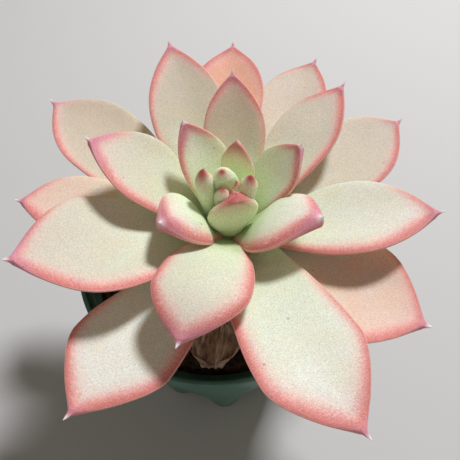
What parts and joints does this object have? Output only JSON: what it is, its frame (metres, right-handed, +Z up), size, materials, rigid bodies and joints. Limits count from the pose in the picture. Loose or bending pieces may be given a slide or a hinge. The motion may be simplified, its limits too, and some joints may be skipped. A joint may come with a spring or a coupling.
{
  "type": "potted echeveria lindsayana",
  "caption": "Rosette succulent with thick pointed leaves, pale green with pink edges, growing in bark soil in a round plastic slit pot that stands on a flat surface.",
  "frame": {"origin": "middle of the pot's flat underside", "axes": "+Z up out of the pot, -Y towards the front that the picture shows, +X to the right"},
  "size_m": [0.1484, 0.163, 0.1368],
  "materials": {
    "pot": "dark blue-green moulded plastic with a soft sheen",
    "soil": "dark damp bark chips and crumbs",
    "stem": "short fleshy stem, green to light brown",
    "leaf": "waxy bloom, pale cream green with coral pink edges and a mauve tip",
    "heart": "waxy, fresh green with red tips",
    "dry_leaf": "withered, papery and ridged, grey brown"
  },
  "bodies": {
    "root": {"pot": "pot", "soil": "soil", "stem": "stem", "heart": "heart", "leaf_01": "leaf", "leaf_02": "leaf", "leaf_03": "leaf", "leaf_04": "leaf", "leaf_05": "leaf", "leaf_06": "leaf", "leaf_07": "leaf", "leaf_08": "leaf", "leaf_09": "leaf", "leaf_10": "leaf", "leaf_11": "leaf", "leaf_12": "leaf", "leaf_13": "leaf", "leaf_14": "leaf", "leaf_15": "leaf", "leaf_16": "leaf", "leaf_17": "leaf", "leaf_18": "leaf", "leaf_19": "leaf", "leaf_20": "leaf", "leaf_21": "leaf", "leaf_22": "leaf", "leaf_23": "leaf", "leaf_24": "leaf", "dry_leaf_1": "dry_leaf", "dry_leaf_2": "dry_leaf"}
  },
  "joints": []
}
